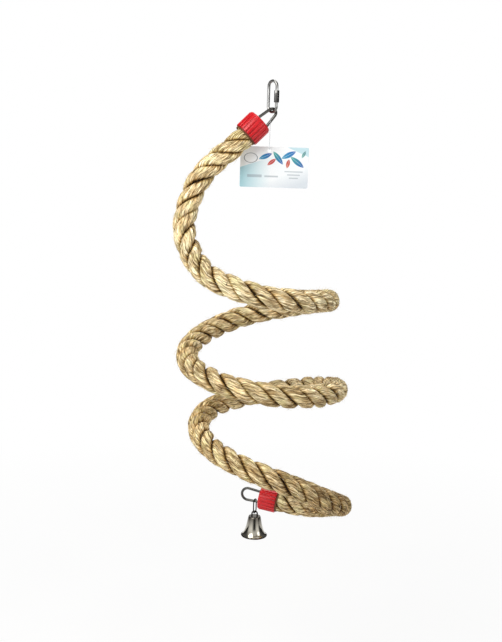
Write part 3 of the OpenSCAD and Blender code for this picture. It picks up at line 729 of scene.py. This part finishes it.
def ribbedCap(c, legs):
    sides, root, bore, low = c["ribs"] * c["sidesPerRib"], c["root"], c["bore"], -c["length"]
    ribLow, ribHigh = low + c["ribFrom"], -c["ribTo"]
    rings, turn = [(root - 2 * c["edge"], 0)], c["edge"]
    rings += [(root - turn + turn * math.sin(a), turn * math.cos(a) - turn) for a in c["edgeAngles"]]
    rings += [
        (root, ribHigh), (root, ribLow), (root, low + c["rim"]), (root - c["rim"], low),
        (bore + c["inRim"], low), (bore, low + c["inRim"]), (bore, -c["endWall"])]
    piece = turnedPiece(rings, sides, True)

    def onRib(face):
        spot = face.calc_center_median()
        column = int(math.degrees(math.atan2(spot.y, spot.x)) % 360 / 360 * sides)
        return (math.hypot(spot.x, spot.y) > (root - 0.3) * mm and ribLow * mm < spot.z < ribHigh * mm
                and column % c["sidesPerRib"] != 0)

    def ribBorder(item):
        spot = (item.verts[0].co + item.verts[1].co) / 2
        crest = (root + c["ribRise"] * 0.9 - 0.05) * mm
        if math.hypot(spot.x, spot.y) < crest or len(item.link_faces) != 2:
            return False
        return item.calc_face_angle(0) > math.radians(30)

    editPiece(piece, "FACE")
    pick(piece, "faces", onRib)
    bpy.ops.mesh.extrude_region_shrink_fatten(TRANSFORM_OT_shrink_fatten={"value": c["ribRise"] * mm})
    leaveEdit()
    editPiece(piece, "EDGE")
    pick(piece, "edges", ribBorder)
    bpy.ops.mesh.bevel(offset=c["ribBevel"] * mm, segments=3, affect="EDGES", clamp_overlap=True)
    faceOutwards()
    for leg in legs:
        drillHole(piece, c["legHole"] / 2, c["drillDepth"], (leg, 0, c["drillMiddle"]), 32)
    smooth(piece, 40)
    # How high each point stands on a rib, for the painted shade between the ribs
    spots = [v.co / mm for v in piece.data.vertices]
    rise = [1 if p.z > ribHigh else (math.hypot(p.x, p.y) - root) / c["ribRise"] for p in spots]
    addAttribute(piece, "crest", np.clip(rise, 0, 1))
    return piece


# The end of a crepe tape wrap that shows past a cap's mouth, a little uneven at its edge
tape = {
    "inner": 12.6, "outer": 13.1, "from": -10.4, "to": -24.1, "sides": 72,
    "rises": (3, 1.4, 0.15), "ragged": 0.168, "raggedTo": 0.5,
}


def tapeBand(t, draw):
    inner, outer, low, high, sides = t["inner"], t["outer"], t["to"], t["from"], t["sides"]
    rings = [(inner, high), (outer, high)] + [(outer, low + rise) for rise in t["rises"]]
    rings += [(outer - t["rises"][-1], low), (inner, low)]
    piece = turnedPiece(rings, sides, False)
    joinRims(piece)
    wave = draw.uniform(-1, 1, sides)
    for vertex in piece.data.vertices:
        if vertex.co.z < (low + t["raggedTo"]) * mm:
            turn = math.atan2(vertex.co.y, vertex.co.x) / (2 * math.pi)
            vertex.co.z += t["ragged"] * mm * wave[int(round(turn % 1 * sides)) % sides]
    smooth(piece, 40)
    return piece


# Wire eyes: legs out of the cap that lean in to a round arch
eyes = {
    "wire": 3.2, "legSteps": (-8.6, -4, -1.6, 0), "leanSteps": (0.15, 0.5, 0.9),
    "upper": {"legGap": 14.4, "arch": 4.8, "reach": 21.6, "shift": 2.4},
    "lower": {"legGap": 13.6, "arch": 7.7, "reach": 25, "shift": 0},
}


def wireEye(e, shape):
    foot, r = shape["legGap"] / 2, shape["arch"]
    top = shape["reach"] - e["wire"] / 2 - r
    tilt = math.degrees(math.asin(r / math.hypot(foot, top)) - math.atan2(foot, top))
    arch = arcPoints((0, top), r, -tilt, 180 + tilt, 36)
    points = [(foot, 0, z) for z in e["legSteps"]]
    leg, lean = np.array(points[-1]), np.array(arch[0]) - np.array(points[-1])
    points += [tuple(leg + lean * k) for k in e["leanSteps"]]
    left = [(-p[0], 0, p[2]) for p in reversed(points)]
    points = rounded(points + arch + left, 2)
    return bentWire([(p[0] + shape["shift"], 0, p[2]) for p in points], e["wire"], False, 6)


capDraw = np.random.default_rng(5)
for endName, place, body in (("upper", upperEnd, "perch"), ("lower", lowerEnd, "lower_end")):
    shape = eyes[endName]
    half = shape["legGap"] / 2
    for kind, piece, slot, material in (
            ("Cap", ribbedCap(cap, (shape["shift"] - half, shape["shift"] + half)), "cap", redVinyl),
            ("Tape", tapeBand(tape, capDraw), "tape", crepeTape),
            ("Eye", wireEye(eyes, shape), "eye_steel", nickelWire)):
        aimPiece(piece, **place)
        finishPiece(piece, endName + kind, body, slot, material, endName + "_" + kind.lower())


# Quick link: oval wire with a gap in one leg, and a hexagon nut over it
link = {
    "wire": 3.1, "innerLength": 30, "innerWidth": 8.5, "heading": -42, "gapTop": -8.96, "gapLow": -12.36,
    "nutLow": -21.31, "nutLength": 13, "flats": 5, "bore": 3.2, "cornerBevel": 0.28, "endBevel": 0.45,
}


def quickLink(q):
    r = (q["innerWidth"] + q["wire"]) / 2
    high, low = -q["innerWidth"] / 2, q["innerWidth"] / 2 - q["innerLength"]
    points = [(r, 0, q["gapTop"]), (r, 0, q["gapTop"] + 1.5), (r, 0, high - 1.5)]
    points += arcPoints((0, high), r, 0, 180, 32)
    points += [(-r, 0, high - 6), (-r, 0, low + 6)]
    points += arcPoints((0, low), r, 180, 360, 32)
    points += [(r, 0, low + 2), (r, 0, q["gapLow"] - 2), (r, 0, q["gapLow"])]
    return bentWire(points, q["wire"], False, 6)


def hexNut(q):
    clearSelection()
    length = q["nutLength"] * mm
    bpy.ops.mesh.primitive_cylinder_add(
        vertices=6, radius=q["flats"] / 2 / math.cos(math.pi / 6) * mm, depth=length)
    piece = bpy.context.object

    def onCorner(edge):
        return abs(edge.verts[0].co.z - edge.verts[1].co.z) > 1 * mm

    def atEnd(edge):
        return all(abs(abs(v.co.z) - length / 2) < 0.01 * mm for v in edge.verts) and not onCorner(edge)

    editPiece(piece, "EDGE")
    for test, bevel in ((onCorner, q["cornerBevel"]), (atEnd, q["endBevel"])):
        pick(piece, "edges", test)
        bpy.ops.mesh.bevel(offset=bevel * mm, segments=3, affect="EDGES")
    leaveEdit()
    drillHole(piece, q["bore"] / 2, 20, (0, 0, 0), 40)
    piece.location = ((q["innerWidth"] + q["wire"]) / 2 * mm, 0, (q["nutLow"] + q["nutLength"] / 2) * mm)
    settle(piece)
    smooth(piece, 30)
    return piece


linkWire = quickLink(link)
aimPiece(linkWire, heading=link["heading"])
finishPiece(linkWire, "quickLinkWire", "link", "link_steel", zincLink, "quick_link_body")
nut = hexNut(link)
aimPiece(nut, heading=link["heading"])
finishPiece(nut, "quickLinkNut", "link_nut", "link_steel", zincNut, "quick_link_nut")


# Bell: a pressed shell on a staple and a small link, with a ball clapper
bell = {
    "top": (-3.665, 86.675, -532.844), "linkTop": (-3.665, 86.675, -511.344),
    "across": 32.8, "height": 25.4, "wall": 0.8, "sides": 96, "rings": 40, "pole": 0.9,
    "outline": ((0.44, 0), (0.47, 0.04), (0.5, 0.12), (0.54, 0.26), (0.58, 0.4), (0.625, 0.53),
                (0.685, 0.66), (0.76, 0.78), (0.86, 0.9), (1, 1)),
    "shoulder": ((0.36, 0), (0.41, -0.12)),  # share of the half width, height in mm
    "lip": ((0.5, 0.72), (0.1, 0.62), (0, 0.35), (0.12, 0.06), (0.4, 0), (1.0, 0.1)),  # mm in and up
    "linkWire": 1.5, "linkWidth": 5, "linkLength": 16.4, "linkHeading": 60,
    "crownWire": 1.8, "crownGap": 6.6, "crownHeight": 7.2, "crownDepth": 5.4,
    "clapperWire": 1.4, "clapperLoop": 2, "loopCentre": -4.6, "neck": 1.2, "tail": 0.6,
    "ball": 8, "ballCentre": -19.2, "ballPlay": 0.08, "ballRim": (0.25, 0.18),
}


def bellShell(b):
    half, tall, pole = b["across"] / 2, b["height"], b["pole"]
    radii, depths = zip(*b["outline"])
    places = np.linspace(0, len(radii) - 1, b["rings"])
    outer = [(half * tableValue(radii, x), -tall * tableValue(depths, x)) for x in places]
    outer = [p for p in outer if p[0] <= half - 0.55]
    shoulder = [(pole, 0)] + [(half * share, z) for share, z in b["shoulder"]]
    lip = [(half - inward, -tall + rise) for inward, rise in b["lip"]]
    inner = [(p[0] - b["wall"], p[1] - 0.1) for p in reversed(outer[2::2])]
    rings = shoulder + outer[1:] + lip + inner[1:] + [(pole, -b["wall"] - 0.1)]
    piece = turnedPiece(rings, b["sides"], True)
    smooth(piece, 32)
    return piece


def closedLoop(width, length, wire):
    r = (width + wire) / 2
    points = arcPoints((0, -width / 2), r, 0, 180, 24) + [(-r, 0, -length / 2)]
    points += arcPoints((0, width / 2 - length), r, 180, 360, 24) + [(r, 0, -length / 2)]
    return bentWire(points, wire, True, 5)


# The crown's staple, a closed loop of wire through the bell's top
def crownStaple(b):
    wire = b["crownWire"]
    piece = closedLoop(b["crownGap"] - wire, b["crownHeight"] + b["crownDepth"] - 2 * wire, wire)
    aimPiece(piece, (0, 0, b["crownHeight"] - wire))
    return piece


def clapperStem(b):
    r = b["clapperLoop"]
    low = b["ballCentre"] - b["ball"] / 2 - b["tail"]
    points = [(0, 0, low), (0, 0, b["ballCentre"]), (0, 0, b["loopCentre"] - r - b["neck"])]
    circle = [(0, r * math.sin(math.radians(a)), b["loopCentre"] - r * math.cos(math.radians(a)))
              for a in range(12, 351, 12)]
    return bentWire(points + circle, b["clapperWire"], False, 4)


# A ball bored through for its wire, with the rim of the bore softened
def boredBall(b):
    r, bore, (inward, down) = b["ball"] / 2, b["clapperWire"] / 2 + b["ballPlay"], b["ballRim"]
    first = math.asin((bore + inward) / r)
    rim = r * math.cos(first) - down
    rings = [(r * math.sin(a), r * math.cos(a)) for a in np.linspace(first, math.pi - first, 22)]
    rings = [(bore, rim)] + rings + [(bore, -rim)]
    piece = turnedPiece([(p[0], p[1] + b["ballCentre"]) for p in rings], 40, False)
    joinRims(piece)
    smooth(piece, 40)
    return piece


bellLink = closedLoop(bell["linkWidth"], bell["linkLength"], bell["linkWire"])
aimPiece(bellLink, bell["linkTop"], bell["linkHeading"])
finishPiece(bellLink, "bellLink", "bell_ring", "eye_steel", darkWire, "bell_link")
for piece, name, body, slot, material, node in (
        (bellShell(bell), "bellShell", "bell", "bell", nickelBell, "bell_shell"),
        (crownStaple(bell), "bellCrown", "bell", "crown_steel", tarnishedCrown, "bell_crown"),
        (clapperStem(bell), "clapperStem", "clapper", "eye_steel", nickelWire, "clapper_stem"),
        (boredBall(bell), "clapperBall", "clapper", "crown_steel", castBall, "clapper_ball")):
    aimPiece(piece, bell["top"])
    finishPiece(piece, name, body, slot, material, node)


# Coated card with a plain printed design: pale wedges, an empty oval, bars and a few simple leaves, with
# painted shade on its lower right.
# Places are in millimetres from its top left corner
card = {
    "hole": (-1.6141, 2.4286, -73.4693), "side": 31.5, "drop": 4.4,
    # x and z slopes of the wedge's edge, where it lies, its softness, colour, strength
    "wedges": ((0.35, -1, 23, 0.25, "#9ED3DF", None), (0.42, 1, 21.5, 0.25, "#9CCFDB", 0.6),
               # the third, grey wedge is painted shade on the card's lower right corner
               (0.4, -1, 58, 9, "#BCC6D2", 0.55)),
    "oval": {"Location": (11.5, 0, -12.5), "Scale": (7.2, 0, 5.2)},
    # middle x and z, angle, half length, half width, tip and root colours
    "leaves": (
        (27.5, -10.5, 24, 8, 2.6, "#1F5FAE", "#2F93B8"), (41.5, -12, -52, 9, 2.7, "#2463B0", "#3FA39A"),
        (53, -8.5, 28, 9, 2.8, "#2A6BB8", "#3A9CC0"), (62.5, -16, -38, 9.5, 2.9, "#1F5FAE", "#49A7A0"),
        (34.5, -16.5, 38, 6, 2.1, "#B8322E", "#C8524A"), (52.5, -18, 78, 5.2, 2.0, "#BB352F", "#D0694A"),
        (69.5, -7.5, 62, 4.5, 1.5, "#3F7F86", "#63A9A2")),
    # low and high edge, left and right end
    "bars": ((-27.2, -26, 49, 69), (-30.7, -29.5, 52, 66), (-34.2, -33, 54, 64),
             (-33.6, -30.6, 8, 24), (-33.2, -31.4, 27, 42)),
}


def cardMaterial(c):
    material, add, place = startMaterial("coatedCard")
    left, top = c["hole"][0] - c["side"], c["hole"][2] + c["drop"]
    spot = add("Mapping", {
        "Vector": place, "Location": (-left, -c["hole"][1], -top), "Scale": (1 / mm, 1 / mm, 1 / mm)})
    split = add("SeparateXYZ", {"Vector": spot})

    def fromMiddle(x, z, angle, halfX, halfZ):  # how far along and across a motif a place lies
        own = add("SeparateXYZ", {"Vector": add("Mapping", {
            "Vector": spot, "Location": (x, 0, z), "Rotation": (0, -math.radians(angle), 0),
            "Scale": (halfX, 0, halfZ)}, vector_type="TEXTURE")})
        return own.outputs["X"], own.outputs["Z"]

    def printed(base, colour, mask, strength=1.0):  # inks what the mask covers
        share = add("Math", {0: mask, 1: strength}, operation="MULTIPLY")
        colour = linearColour(colour) if isinstance(colour, str) else colour
        return add("Mix", {0: share, 6: base, 7: colour}, data_type="RGBA")

    fibre = add("TexNoise", {"Vector": place, "Scale": 900.0, "Detail": 2.0})  # 1 mm
    paper = add("ValToRGB", {"Fac": fibre}, ((0.3, "#F0F3F5"), (0.7, "#F9FAFB")))
    fade = add("MapRange", {
        "Value": split.outputs["X"], "From Min": 0.0, "From Max": 34.0, "To Min": 0.9, "To Max": 0.06})
    ink = paper
    for slopeX, slopeZ, limit, soft, colour, strength in c["wedges"]:
        past = add("VectorMath", {0: spot, 1: (slopeX, 0, slopeZ)}, operation="DOT_PRODUCT")
        wedge = add("MapRange", {"Value": past, "From Min": limit - soft, "From Max": limit + soft})
        ink = printed(ink, colour, wedge, strength or fade)
    oval = add("Mapping", {"Vector": spot, **c["oval"]}, vector_type="TEXTURE")
    far = add("VectorMath", {0: oval}, operation="LENGTH")
    ring = add("Math", {0: far, 1: 1.0, 2: 0.06}, operation="COMPARE")
    ink = printed(ink, "#4F5C68", ring, 0.8)
    for x, z, angle, halfLong, halfWide, tip, root in c["leaves"]:
        along, aside = fromMiddle(x, z, angle, halfLong, 1)
        away = add("Math", {0: aside}, operation="ABSOLUTE")
        squared = add("Math", {0: along, 1: along}, operation="MULTIPLY")
        edge = add("Math", {0: squared, 1: -halfWide, 2: halfWide}, operation="MULTIPLY_ADD")
        within = add("Math", {0: edge, 1: away}, operation="SUBTRACT")
        inside = add("MapRange", {"Value": within, "From Min": -0.2, "From Max": 0.2})
        lengthways = add("MapRange", {"Value": along, "From Min": -0.8, "From Max": 0.8})
        tone = add("Mix", {0: lengthways, 6: linearColour(root), 7: linearColour(tip)}, data_type="RGBA")
        ink = printed(ink, tone, inside)
        vein = add("Math", {0: away, 1: 0.16}, operation="LESS_THAN")
        vein = add("Math", {0: vein, 1: inside}, operation="MULTIPLY")
        ink = printed(ink, "#E8F3F5", vein, 0.6)
    for low, high, start, end in c["bars"]:
        sides = fromMiddle((start + end) / 2, (low + high) / 2, 0, (end - start) / 2, (high - low) / 2)
        inX, inZ = [add("Math", {0: side, 1: 0.0, 2: 1.0}, operation="COMPARE") for side in sides]
        bar = add("Math", {0: inX, 1: inZ}, operation="MULTIPLY")
        ink = printed(ink, "#8C98A3", bar, 0.55)
    front = add("Math", {0: split.outputs["Y"], 1: -0.2}, operation="LESS_THAN")
    colour = add("Mix", {0: front, 6: paper, 7: ink}, data_type="RGBA")
    bump = add("Bump", {"Strength": 0.15, "Distance": 0.1 * mm, "Height": fibre})
    return finishMaterial(material, Base_Color=colour, Normal=bump, Roughness=0.32, IOR=1.48)


for name, material in (("hang_tag", cardMaterial(card)), ("tag_loop", nylon),
                       ("upper_ferrule", crimpedAluminium), ("lower_ferrule", crimpedAluminium)):
    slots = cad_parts[name].data.materials
    slots.clear()
    slots.append(material)
print("card and nodes dressed")


# Plain pale floor well below the perch, soft lamps, and a white room
studio = {
    "floorLow": -0.78, "floorSize": 4.4, "floorMiddle": 1.0, "ambient": 0.45, "aim": (0, 0, -0.28),
    "lamps": (  # place, size, power, colour
        ("keyLamp", (-0.95, -1.1, 0.75), 1.2, 27, (1, 0.99, 0.97)),
        ("fillLamp", (1.3, -0.9, 0.2), 0.7, 4, (0.98, 0.99, 1)),
        ("topLamp", (0.1, 0.4, 1.1), 0.7, 8, (1, 1, 1))),
    # how bright the room looks in metal, by heading: 0 and 1 lie behind the perch, 0.5 in front
    "lowRoom": ((0.0, 0.9), (0.03, 0.8), (0.07, 0.2), (0.25, 0.5), (0.45, 0.6), (0.6, 0.3), (0.8, 0.15),
                (1.0, 0.9)),
    "middleRoom": ((0.0, 0.9), (0.015, 0.8), (0.04, 0.04), (0.25, 0.04), (0.30, 1.2), (0.41, 1.5),
                   (0.455, 0.5), (0.48, 0.06), (0.54, 0.06), (0.575, 1.2), (0.66, 1.4), (0.70, 0.04),
                   (0.96, 0.04), (0.985, 0.8), (1.0, 0.9)),
    "highRoom": ((0.0, 0.9), (0.02, 0.8), (0.05, 0.12), (0.27, 0.12), (0.33, 0.8), (0.42, 1.0), (0.48, 0.8),
                 (0.58, 0.8), (0.62, 0.9), (0.67, 0.8), (0.71, 0.12), (0.95, 0.12), (0.98, 0.8), (1.0, 0.9)),
    # the heights over which one gives way to the next, and at last to an even ceiling
    "bounds": ((-0.3, -0.15), (0.12, 0.28), (0.82, 0.93)), "ceiling": 0.5,
}


# Pale painted floor: white to the eye and in reflections, a little less right under the perch
def floorMaterial():
    material, add, place = startMaterial("paleFloor")
    grain = add("TexNoise", {"Vector": place, "Scale": 6.0, "Detail": 2.0})
    tone = add("ValToRGB", {"Fac": grain}, ((0.3, "#EDEDEC"), (0.7, "#F3F3F2")))
    surface = add("BsdfPrincipled", {"Base Color": tone, "Roughness": 0.9})
    rays = add("LightPath").outputs
    seen = add("Math", {0: rays["Is Camera Ray"], 1: rays["Is Glossy Ray"]}, operation="MAXIMUM")
    seen = add("Math", {0: seen, 1: rays["Is Transmission Ray"]}, operation="MAXIMUM")
    level = add("Mapping", {"Vector": place, "Scale": (1, 1, 0)})
    far = add("VectorMath", {0: level}, operation="LENGTH")
    spread = add("MapRange", {"Value": far, "From Min": 0.25, "From Max": 1.15, "To Min": 0.8, "To Max": 1.0})
    share = add("Math", {0: seen, 1: spread}, operation="MULTIPLY")
    white = add("Emission", {"Color": (1, 1, 1, 1), "Strength": 1.0})
    mix = add("MixShader", {0: share, 1: surface, 2: white})
    add("OutputMaterial", {"Surface": mix})
    return material


def addFloorAndLamps(s):
    clearSelection()
    bpy.ops.mesh.primitive_plane_add(size=s["floorSize"], location=(0, s["floorMiddle"], s["floorLow"]))
    floor = bpy.context.object
    floor.name = "floor"
    settle(floor)
    floor.data.materials.append(floorMaterial())
    for name, place, size, power, colour in s["lamps"]:
        data = bpy.data.lights.new(name, "AREA")
        data.size, data.energy, data.color = size, power, colour
        lamp = bpy.data.objects.new(name, data)
        lamp.location = place
        lamp.rotation_euler = (Vector(s["aim"]) - Vector(place)).to_track_quat("-Z", "Y").to_euler()
        bpy.context.scene.collection.objects.link(lamp)


# White to the eye, soft and even as light, and a room with lights and dark places in reflections
def addRoom(s):
    world = bpy.data.worlds.new("whiteRoom")
    bpy.context.scene.world = world
    world.use_nodes = True
    world.node_tree.nodes.clear()
    add = partial(addNode, world.node_tree)
    rays = add("LightPath").outputs
    way = add("SeparateXYZ", {"Vector": add("TexCoord").outputs["Generated"]}).outputs
    forward = add("Math", {0: way["Y"], 1: -1.0}, operation="MULTIPLY")
    angle = add("Math", {0: way["X"], 1: forward}, operation="ARCTAN2")
    heading = add("MapRange", {"Value": angle, "From Min": -math.pi, "From Max": math.pi})
    colour, *rooms = [
        add("ValToRGB", {"Fac": heading}, [(place, [level] * 3) for place, level in s[name]])
        for name in ("lowRoom", "middleRoom", "highRoom")]
    for (low, high), above in zip(s["bounds"], rooms + [linearColour([s["ceiling"]] * 3)]):
        share = add("MapRange", {"Value": way["Z"], "From Min": low, "From Max": high})
        colour = add("Mix", {0: share, 6: colour, 7: above}, data_type="RGBA")
    room = add("Background", {"Color": colour, "Strength": 1.0})
    soft = add("Background", {"Color": (1, 1, 1, 1), "Strength": s["ambient"]})
    white = add("Background", {"Color": (1, 1, 1, 1), "Strength": 1.0})
    lit = add("MixShader", {0: rays["Is Glossy Ray"], 1: soft, 2: room})
    seen = add("Math", {0: rays["Is Camera Ray"], 1: rays["Is Transmission Ray"]}, operation="MAXIMUM")
    shown = add("MixShader", {0: seen, 1: lit, 2: white})
    add("OutputWorld", {"Surface": shown})


addFloorAndLamps(studio)
addRoom(studio)
bpy.context.scene.view_settings.view_transform = "Standard"
print("studio ready")
